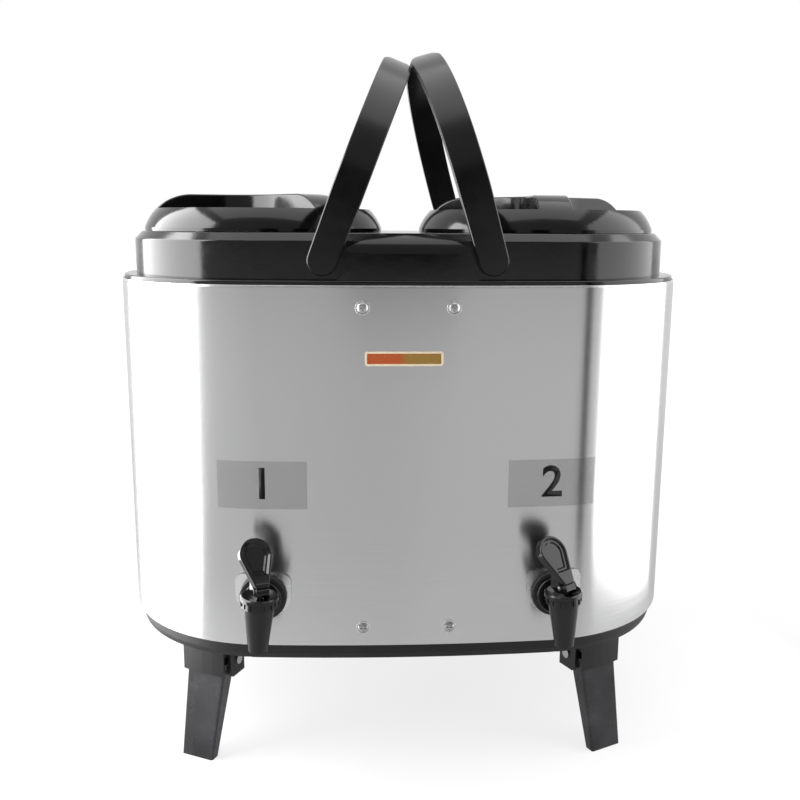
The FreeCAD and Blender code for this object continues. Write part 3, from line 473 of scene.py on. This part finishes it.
tree.links.new(wear(tree, place, 0.002, 3.0, 0.16, 0.3), shader.inputs["Roughness"])
badge.data.materials.append(rim_paint)
badge.data.materials.append(enamel)
field_y = BADGE_LOW[1] + FIELD_DEPTH
for face in badge.data.polygons:
    if face.normal.y < -0.9 and abs(face.center.y - field_y) < 0.00005:
        face.material_index = 1
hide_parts("badge_plate")
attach(badge, "base")
print("enamelled faces", sum(face.material_index for face in badge.data.polygons))

# %% [markdown]
# ## The labels
#
# Each tap has a clear film stuck above it. A film has no colour of its own: it lets the steel
# through, a tenth darker, and adds a thin gloss. A glass shader could do that, but slowly, and
# so thin a film hardly bends the light. Part transparency in the shader gives both, because the
# part that isn't seen through still shines. Each film bears a plain number. A number starts as
# a text, which becomes a mesh, and then is extruded. Printed ink is a few hundredths of a
# millimetre thick, and so is this.

# %% Clear film
# To the eye: a slightly darker, shinier patch of the steel behind it.
film, tree, shader = start_material("clear_polyester_film", Alpha=0.09, IOR=1.5)
place = add_node(tree, "ShaderNodeTexCoord").outputs["Object"]
tree.links.new(mottled(tree, place, 0.01, "#55544f", "#5e5d58"), shader.inputs["Base Color"])
tree.links.new(wear(tree, place, 0.006, 3.0, 0.1, 0.22), shader.inputs["Roughness"])
dress([f"{side}_label" for side in SIDES], film)

# %% Printed numbers
LABEL_X = {"left": -0.0941, "right": 0.0956}
LABEL_Z = 0.2014
NUMBER_HEIGHT = 0.0205
DIGIT_SHARE = 0.7  # a digit is this share of the text's size
BOLDER_BY = 0.0005
INK_STAND = 0.0002  # from the jacket to the ink, just past the film's front
INK_DEPTH = 0.00005
SAME_POINT = 0.000001

# To the eye: a dull, dense black on the shiny film.
ink, tree, shader = start_material("black_screen_printing_ink", IOR=1.5, Specular_IOR_Level=0.2)
place = add_node(tree, "ShaderNodeTexCoord").outputs["Object"]
tree.links.new(mottled(tree, place, 0.004, "#080808", "#0e0e0e"), shader.inputs["Base Color"])
tree.links.new(wear(tree, place, 0.002, 3.0, 0.35, 0.5), shader.inputs["Roughness"])
for number, side in enumerate(SIDES, start=1):
    x = LABEL_X[side]
    bpy.ops.object.select_all(action="DESELECT")
    bpy.ops.object.text_add(location=(0.0, 0.0, 0.0))
    digit = bpy.context.object
    digit.name = f"{side}_label_number"
    digit.data.body = str(number)
    digit.data.align_x = "CENTER"
    digit.data.align_y = "CENTER"
    digit.data.size = NUMBER_HEIGHT / DIGIT_SHARE
    digit.data.offset = BOLDER_BY
    bpy.ops.object.convert(target="MESH")
    bpy.ops.object.mode_set(mode="EDIT")
    bpy.ops.mesh.select_all(action="SELECT")
    bpy.ops.mesh.remove_doubles(threshold=SAME_POINT)
    bpy.ops.mesh.dissolve_limited(angle_limit=0.001)
    bpy.ops.mesh.extrude_region_move(TRANSFORM_OT_translate={"value": (0.0, 0.0, INK_DEPTH)})
    bpy.ops.mesh.select_all(action="SELECT")
    bpy.ops.mesh.normals_make_consistent(inside=False)
    bpy.ops.object.mode_set(mode="OBJECT")
    lean = math.asin(x / FACE_RADIUS)
    digit.rotation_euler = (UPRIGHT, 0.0, lean)
    front = face_y(x) - INK_STAND * math.cos(lean)
    digit.location = (x + INK_STAND * math.sin(lean), front, LABEL_Z)
    bpy.ops.object.transform_apply(location=True, rotation=True, scale=True)
    digit.data.materials.append(ink)
    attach(digit, "base")
    print(digit.name, "faces", len(digit.data.polygons))

# %% [markdown]
# ## Washers under the body screws
#
# A pale ring shows round every screw head, with a dark line between. It reads as a pressed
# washer, which spreads the head's load over the thin sheet, though a dimple in the sheet would
# look much the same. The washers at the back are a guess. A boolean could cut the hole, but
# insets need no second shape: a disc has both its ends inset, and the two inner faces are
# bridged into the hole. The front edge is bevelled, because a pressed washer's edge is never
# sharp. One washer is modelled and copied to every screw with a mesh of its own, turned to lie
# flat on the curved face.

# %% One washer
WASHER_RADIUS = 0.0047
WASHER_HOLE = 0.00352
WASHER_DEPTH = 0.0005
WASHER_BEVEL = 0.00018
SAME_RING = 0.0001

bpy.ops.object.select_all(action="DESELECT")
bpy.ops.mesh.primitive_cylinder_add(
    vertices=48, radius=WASHER_RADIUS, depth=WASHER_DEPTH, rotation=(UPRIGHT, 0.0, 0.0)
)
first_washer = bpy.context.object
bpy.ops.object.transform_apply(location=True, rotation=True, scale=True)
select_parts(first_washer, "FACE", lambda face: abs(face.normal.y) > 0.9)
bpy.ops.mesh.inset(thickness=WASHER_RADIUS - WASHER_HOLE, depth=0.0)
bpy.ops.mesh.bridge_edge_loops()
bpy.ops.object.mode_set(mode="OBJECT")


def on_front_rim(edge):
    """Whether an edge is on the front outer or inner rim of the washer."""
    a, b = (first_washer.data.vertices[i].co for i in edge.vertices)
    same_ring = abs(math.hypot(a.x, a.z) - math.hypot(b.x, b.z)) < SAME_RING
    return same_ring and a.y < 0.0 and b.y < 0.0


select_parts(first_washer, "EDGE", on_front_rim)
bpy.ops.mesh.bevel(offset=WASHER_BEVEL, segments=3, affect="EDGES")
bpy.ops.mesh.select_all(action="SELECT")
bpy.ops.mesh.normals_make_consistent(inside=False)
bpy.ops.object.mode_set(mode="OBJECT")
bpy.ops.object.shade_smooth_by_angle(angle=math.radians(40.0))
# To the eye: a pale ring, duller than the screw's head.
washer_steel = plain_metal("bright_zinc_plated_steel", "#d6d6d6", 0.001, 3.0, 0.25, 0.4)
first_washer.data.materials.append(washer_steel)
print("one washer has", len(first_washer.data.polygons), "faces")

# %% A washer for every screw
SCREW_X = 0.0288
SCREW_Z = {"lower": 0.103, "upper": 0.3165}
WASHER_STAND = WASHER_DEPTH / 2 + GAP

washers = []
for end in ENDS:
    for side in SIDES:
        for level, z in SCREW_Z.items():
            washer = first_washer.copy()
            washer.data = first_washer.data.copy()
            bpy.context.collection.objects.link(washer)
            washer.name = f"{end}_{level}_{side}_screw_washer"
            x = SCREW_X if side == "right" else -SCREW_X
            lean = math.asin(x / FACE_RADIUS)
            out = WASHER_STAND * math.cos(lean)
            if end == "front":
                y, turn = face_y(x) - out, lean
            else:
                y, turn = BACK_Y + FRONT_Y - face_y(x) + out, math.pi - lean
            washer.location = (x + WASHER_STAND * math.sin(lean), y, z)
            washer.rotation_euler = (0.0, 0.0, turn)
            bpy.ops.object.select_all(action="DESELECT")
            bpy.context.view_layer.objects.active = washer
            washer.select_set(True)
            bpy.ops.object.transform_apply(location=True, rotation=True, scale=True)
            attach(washer, "base")
            washers.append(washer.name)
bpy.data.objects.remove(first_washer, do_unlink=True)
print("washers", len(washers), "the last is", washers[-1])

# %% [markdown]
# ## The hollows in the finger levers
#
# A finger rests in a shallow hollow on each lever's paddle, inside a raised rim that catches the
# light. The rim shows in the photograph, and how deep the hollow is doesn't, so 0.8 mm is a
# guess. The CAD gives the lever with a flat paddle. A boolean could cut the hollow, but an
# inset follows the paddle's own outline, so the rim stays one even width. A copy of the lever's
# mesh is merged first, because CAD meshes come with split edges. The flat front is found by its
# normal and dissolved into one face, inset once for the rim's flat top and once more, pushed
# in, for the sloping wall of the hollow.

# %% Where a paddle faces
RIM_TOP = 0.0011
WALL_RUN = 0.0009
HOLLOW = 0.0008
SAME_PLANE = 0.999


def main_front(mesh):
    """The normal of the largest flat face that points forward."""
    areas = {}
    for face in mesh.polygons:
        if face.normal.y < -0.5:
            key = tuple(round(v, 2) for v in face.normal)
            areas[key] = areas.get(key, 0.0) + face.area
    return Vector(max(areas, key=areas.get)).normalized()


for side in SIDES:
    facing = main_front(nodes[f"{side}_tap_lever"].data)
    print(side, "paddle faces", [round(v, 3) for v in facing])

# %% Finger levers
for side in SIDES:
    lever = nodes[f"{side}_tap_lever"].copy()
    lever.data = lever.data.copy()
    bpy.context.collection.objects.link(lever)
    lever.name = f"{side}_finger_lever"
    for key in [key for key in lever.keys() if key.startswith("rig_")]:
        del lever[key]
    bpy.ops.object.select_all(action="DESELECT")
    bpy.context.view_layer.objects.active = lever
    lever.select_set(True)
    bpy.ops.object.mode_set(mode="EDIT")
    bpy.ops.mesh.customdata_custom_splitnormals_clear()
    bpy.ops.mesh.select_all(action="SELECT")
    bpy.ops.mesh.remove_doubles(threshold=SAME_POINT)
    bpy.ops.object.mode_set(mode="OBJECT")
    front = main_front(lever.data)
    select_parts(lever, "FACE", lambda face: face.normal.dot(front) > 0.9995)
    bpy.ops.mesh.dissolve_limited(angle_limit=math.radians(1.0))
    bpy.ops.object.mode_set(mode="OBJECT")
    flat_faces = [face for face in lever.data.polygons if face.normal.dot(front) > SAME_PLANE]
    size = max(face.area for face in flat_faces)
    select_parts(
        lever,
        "FACE",
        lambda face: face.normal.dot(front) > SAME_PLANE and face.area > 0.9 * size,
    )
    bpy.ops.mesh.inset(thickness=RIM_TOP, depth=0.0)
    bpy.ops.mesh.inset(thickness=WALL_RUN, depth=-HOLLOW)
    bpy.ops.mesh.inset(thickness=WALL_RUN, depth=0.0)
    bpy.ops.object.mode_set(mode="OBJECT")
    bpy.ops.object.shade_smooth_by_angle(angle=math.radians(32.0))
    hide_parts(f"{side}_tap_lever")
    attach(lever, f"{side}_lever")
    print(lever.name, "faces", len(lever.data.polygons), "paddle", round(size * 1e6, 1), "mm2")

# %% [markdown]
# ## The jacket's turned edge and its seam
#
# One thin bright line shows between the jacket and the black collar. It reads as the sheet's top
# edge, turned in so that it is round and safe to touch. A curve with a round bevel could follow
# the outline. Spinning a small circle keeps to the CAD's own arcs instead: the outline is four
# arcs, so the circle is spun four times, each time about that arc's centre.
# The seam at the back is a guess. A strip rolled into a ring has ends that meet somewhere, and
# the front shows no joint. A narrow strip covers it here.

# %% The four arcs of the outline
HALF_WIDTH = 0.2
HALF_DEPTH = 0.112
MID_Y = (FRONT_Y + BACK_Y) / 2
FACE_REACH = FACE_RADIUS - HALF_DEPTH
END_REACH = FACE_RADIUS - HALF_WIDTH
END_X = (FACE_REACH**2 - END_REACH**2) / (2 * END_REACH)
FACE_SWEEP = 2 * math.atan2(END_X, FACE_REACH)
END_SWEEP = math.pi - FACE_SWEEP
FACE_CENTRE_Y = MID_Y + FACE_RADIUS - HALF_DEPTH
ARCS = (
    ((0.0, FACE_CENTRE_Y, 0.0), FACE_SWEEP, 48),
    ((END_X, MID_Y, 0.0), END_SWEEP, 72),
    ((0.0, 2 * MID_Y - FACE_CENTRE_Y, 0.0), FACE_SWEEP, 48),
    ((-END_X, MID_Y, 0.0), END_SWEEP, 72),
)
print("arcs of", [round(math.degrees(sweep), 1) for centre, sweep, steps in ARCS], "degrees")

# %% Turned edge
BEAD_RADIUS = 0.0004
BEAD_INSET = 0.00045
BEAD_SUNK = 0.0001
BEAD_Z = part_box("jacket")[1].z + BEAD_RADIUS - BEAD_SUNK

start = math.pi * 1.5 - FACE_SWEEP / 2
reach = FACE_RADIUS - BEAD_INSET
bpy.ops.object.select_all(action="DESELECT")
bpy.ops.mesh.primitive_circle_add(
    vertices=10,
    radius=BEAD_RADIUS,
    location=(reach * math.cos(start), FACE_CENTRE_Y + reach * math.sin(start), BEAD_Z),
    rotation=(UPRIGHT, 0.0, start),
)
bead = bpy.context.object
bead.name = "jacket_turned_edge"
bpy.ops.object.transform_apply(location=True, rotation=True, scale=True)
bpy.ops.object.mode_set(mode="EDIT")
bpy.ops.mesh.select_all(action="SELECT")
for centre, sweep, steps in ARCS:
    bpy.ops.mesh.spin(steps=steps, angle=-sweep, center=centre, axis=(0.0, 0.0, 1.0))
bpy.ops.mesh.select_all(action="SELECT")
bpy.ops.mesh.remove_doubles(threshold=0.00002)
bpy.ops.mesh.normals_make_consistent(inside=False)
bpy.ops.object.mode_set(mode="OBJECT")
bpy.ops.object.shade_smooth()
bead.data.materials.append(brushed_steel)
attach(bead, "base")
spans = [round(v, 4) for v in bead.dimensions]
print("turned edge spans", spans, "faces", len(bead.data.polygons))

# %% Seam cover
SEAM_THICKNESS = 0.0005
SEAM_BEVEL = 0.0002
SEAM_LOW = (-0.004, BACK_Y + GAP, 0.0912)
SEAM_HIGH = (0.004, BACK_Y + SEAM_THICKNESS, 0.3283)
seam = block("jacket_seam_cover", SEAM_LOW, SEAM_HIGH)
select_parts(seam, "FACE", lambda face: face.normal.y > 0.9)
bpy.ops.mesh.bevel(offset=SEAM_BEVEL, segments=3, affect="EDGES")
bpy.ops.object.mode_set(mode="OBJECT")
bpy.ops.object.shade_smooth_by_angle(angle=math.radians(50.0))
seam.data.materials.append(brushed_steel)
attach(seam, "base")
print("seam cover", [round(v, 4) for v in seam.dimensions])

# %% [markdown]
# ## The floor
#
# A plain pale floor without a horizon. More light would make it white, but it would also wash
# out the dispenser. So the Light Path node asks what is looking. The camera sees a floor that
# glows white, less so near the dispenser, and that shows a fifth of its own paint, which keeps
# the soft shadow. Polished steel sees the same floor, duller. The tones that it sees to each
# side were chosen until the jacket looked as it does in the photograph, and the real room may
# have been another.

# %% Floor
FLOOR_SIZE = 16.0
bpy.ops.mesh.primitive_plane_add(size=FLOOR_SIZE, location=(0.0, 0.0, 0.0))
floor = bpy.context.object
floor.name = "studio_floor"
floor_paint, tree, shader = start_material("matt_white_studio_floor", Roughness=0.9)
shader.inputs["Base Color"].default_value = linear("#f4f4f4")
place = add_node(tree, "ShaderNodeTexCoord").outputs["Object"]
print("floor", [round(v, 1) for v in floor.dimensions])

# %% What the camera sees of the floor
# Distances are in metres from the middle of the floor, and a tone of 1 is white.
WHITE_FROM, WHITE_TO = 0.25, 0.7
WHITE_NEAR, WHITE_FAR = 1.0, 1.3

rays = add_node(tree, "ShaderNodeLightPath")
plain_view = add_node(
    tree,
    "ShaderNodeMath",
    {0: rays.outputs["Is Camera Ray"], 1: rays.outputs["Is Transmission Ray"]},
    operation="MAXIMUM",
)
away = add_node(tree, "ShaderNodeVectorMath", {0: place}, operation="LENGTH")
white_inputs = {
    "Value": away.outputs["Value"],
    "From Min": WHITE_FROM,
    "From Max": WHITE_TO,
    "To Min": WHITE_NEAR,
    "To Max": WHITE_FAR,
}
white = add_node(tree, "ShaderNodeMapRange", white_inputs)
print("the camera sees", WHITE_NEAR, "near the dispenser and", WHITE_FAR, "further out")

# %% What steel sees of the floor
# The tones go from the left, at 0, through the middle, in front and behind, at 0.5, to the
# right, at 1.
DULL_FROM, DULL_TO = 0.35, 1.6
DULL_NEAR, DULL_FAR = 0.72, 1.1
ROOM_TONES = (
    (0.0, 0.86),
    (0.25, 0.8),
    (0.42, 0.68),
    (0.5, 0.67),
    (0.58, 0.74),
    (0.75, 0.74),
    (1.0, 0.8),
)

heading = add_node(tree, "ShaderNodeVectorMath", {0: place}, operation="NORMALIZE")
across = add_node(tree, "ShaderNodeSeparateXYZ", {"Vector": heading.outputs["Vector"]})
sideways = add_node(
    tree, "ShaderNodeMapRange", {"Value": across.outputs["X"], "From Min": -1.0, "From Max": 1.0}
)
room = add_node(tree, "ShaderNodeValToRGB", {"Fac": sideways.outputs["Result"]})
for position, tone in ROOM_TONES[1:-1]:
    room.color_ramp.elements.new(position)
for element, (position, tone) in zip(room.color_ramp.elements, ROOM_TONES):
    element.position = position
    element.color = (tone, tone, tone, 1.0)
nearness_inputs = {
    "Value": away.outputs["Value"],
    "From Min": DULL_FROM,
    "From Max": DULL_TO,
    "To Min": DULL_NEAR,
    "To Max": DULL_FAR,
}
nearness = add_node(tree, "ShaderNodeMapRange", nearness_inputs)
dull = add_node(
    tree,
    "ShaderNodeMath",
    {0: room.outputs["Color"], 1: nearness.outputs["Result"]},
    operation="MULTIPLY",
)
print("tones of the floor in the steel", [tone for position, tone in ROOM_TONES])

# %% Glow and paint of the floor together
GLOW_SHARE_IN_STEEL = 0.8
GLOW_SHARE_TO_CAMERA = 0.78

glow = add_node(
    tree,
    "ShaderNodeMix",
    {0: plain_view.outputs[0], 2: dull.outputs[0], 3: white.outputs["Result"]},
    data_type="FLOAT",
)
share_inputs = {
    "Value": plain_view.outputs[0],
    "To Min": GLOW_SHARE_IN_STEEL,
    "To Max": GLOW_SHARE_TO_CAMERA,
}
glow_share = add_node(tree, "ShaderNodeMapRange", share_inputs)
seen = add_node(
    tree,
    "ShaderNodeMath",
    {0: plain_view.outputs[0], 1: rays.outputs["Is Glossy Ray"]},
    operation="MAXIMUM",
)
shown_share = add_node(
    tree,
    "ShaderNodeMath",
    {0: seen.outputs[0], 1: glow_share.outputs["Result"]},
    operation="MULTIPLY",
)
light = add_node(
    tree, "ShaderNodeEmission", {"Color": (1.0, 1.0, 1.0, 1.0), "Strength": glow.outputs[0]}
)
mixed = add_node(
    tree,
    "ShaderNodeMixShader",
    {0: shown_share.outputs[0], 1: shader.outputs["BSDF"], 2: light.outputs["Emission"]},
)
tree.links.new(mixed.outputs["Shader"], tree.nodes["Material Output"].inputs["Surface"])
floor.data.materials.append(floor_paint)
print(floor_paint.name, "nodes", len(tree.nodes))

# %% [markdown]
# ## Light
#
# A bright softbox stands close on the left, a weaker one on the right, and a wide one hangs
# overhead. Gloss is the best guide to lamps, so these were placed until the bright shapes in the
# black plastic and on the round ends of the jacket agreed with the photograph. The real lamps
# may have stood elsewhere. The flat front of the steel is grey, so it faced something dimmer,
# and the world is dimmer on that side. Two black cards, which only reflections show, give the
# dark bands at the right end and in the front.

# %% World
MIRROR_FROM, MIRROR_TO = -0.6, 0.3
MIRROR_DIM, MIRROR_BRIGHT = 0.34, 1.0
WORLD_LIGHT = 0.45
WORLD_WHITE = 1.0

world = bpy.data.worlds.new("studio_world")
bpy.context.scene.world = world
world.use_nodes = True
tree = world.node_tree
background = tree.nodes["Background"]
background.inputs["Color"].default_value = (1.0, 1.0, 1.0, 1.0)
direction = add_node(tree, "ShaderNodeTexCoord").outputs["Generated"]
towards = add_node(tree, "ShaderNodeSeparateXYZ", {"Vector": direction})
mirror_inputs = {
    "Value": towards.outputs["Y"],
    "From Min": MIRROR_FROM,
    "From Max": MIRROR_TO,
    "To Min": MIRROR_DIM,
    "To Max": MIRROR_BRIGHT,
}
mirror_room = add_node(tree, "ShaderNodeMapRange", mirror_inputs)
rays = add_node(tree, "ShaderNodeLightPath")
plain_view = add_node(
    tree,
    "ShaderNodeMath",
    {0: rays.outputs["Is Camera Ray"], 1: rays.outputs["Is Transmission Ray"]},
    operation="MAXIMUM",
)
mirrored = add_node(
    tree,
    "ShaderNodeMix",
    {0: rays.outputs["Is Glossy Ray"], 2: WORLD_LIGHT, 3: mirror_room.outputs["Result"]},
    data_type="FLOAT",
)
strength = add_node(
    tree,
    "ShaderNodeMix",
    {0: plain_view.outputs[0], 2: mirrored.outputs[0], 3: WORLD_WHITE},
    data_type="FLOAT",
)
tree.links.new(strength.outputs[0], background.inputs["Strength"])
print("in a mirror the world is", MIRROR_DIM, "in front and", MIRROR_BRIGHT, "behind")


# %% Lamps
def softbox(name, place, turn, width, height, radiance):
    """A rectangular lamp of this radiance, where 1 is white, hidden from the camera."""
    bpy.ops.object.light_add(type="AREA", location=place, rotation=turn)
    lamp = bpy.context.object
    lamp.name = name
    lamp.data.shape = "RECTANGLE"
    lamp.data.size = width
    lamp.data.size_y = height
    lamp.data.energy = radiance * math.pi * width * height
    lamp.visible_camera = False
    print(name, round(lamp.data.energy, 2), "W")


LEFT_TILT = 0.07
softbox(
    "left_softbox",
    place=(-0.36, -0.05, 0.34),
    turn=(UPRIGHT, LEFT_TILT, -UPRIGHT),
    width=0.345,
    height=0.66,
    radiance=8.5,
)
softbox(
    "right_softbox",
    place=(0.36, -0.092, 0.3375),
    turn=(UPRIGHT, 0.0, UPRIGHT),
    width=0.34,
    height=0.605,
    radiance=2.2,
)
softbox(
    "top_softbox", place=(0.0, 0.0, 1.3), turn=(0.0, 0.0, 0.0), width=1.3, height=1.0, radiance=1.4
)


# %% Black cards
def black_card(name, place, width, height):
    """A narrow black card, turned to face the dispenser, that only reflections show."""
    turn = (UPRIGHT, 0.0, math.atan2(place[0], -place[1]))
    bpy.ops.mesh.primitive_plane_add(size=1.0, location=place, rotation=turn)
    card = bpy.context.object
    card.name = name
    card.scale = (width, height, 1.0)
    card.data.materials.append(card_black)
    card.visible_camera = card.visible_diffuse = card.visible_shadow = False
    print(name, "at", place)


# To the eye: a hole in the reflections.
card_black, tree, shader = start_material("black_flock_card", Roughness=1.0, IOR=1.0)
shader.inputs["Base Color"].default_value = linear("#050505")
black_card("right_flag", place=(0.36, -0.37, 0.3), width=0.04, height=0.6)
black_card("front_flag", place=(0.03, -0.85, 0.55), width=0.26, height=0.5)
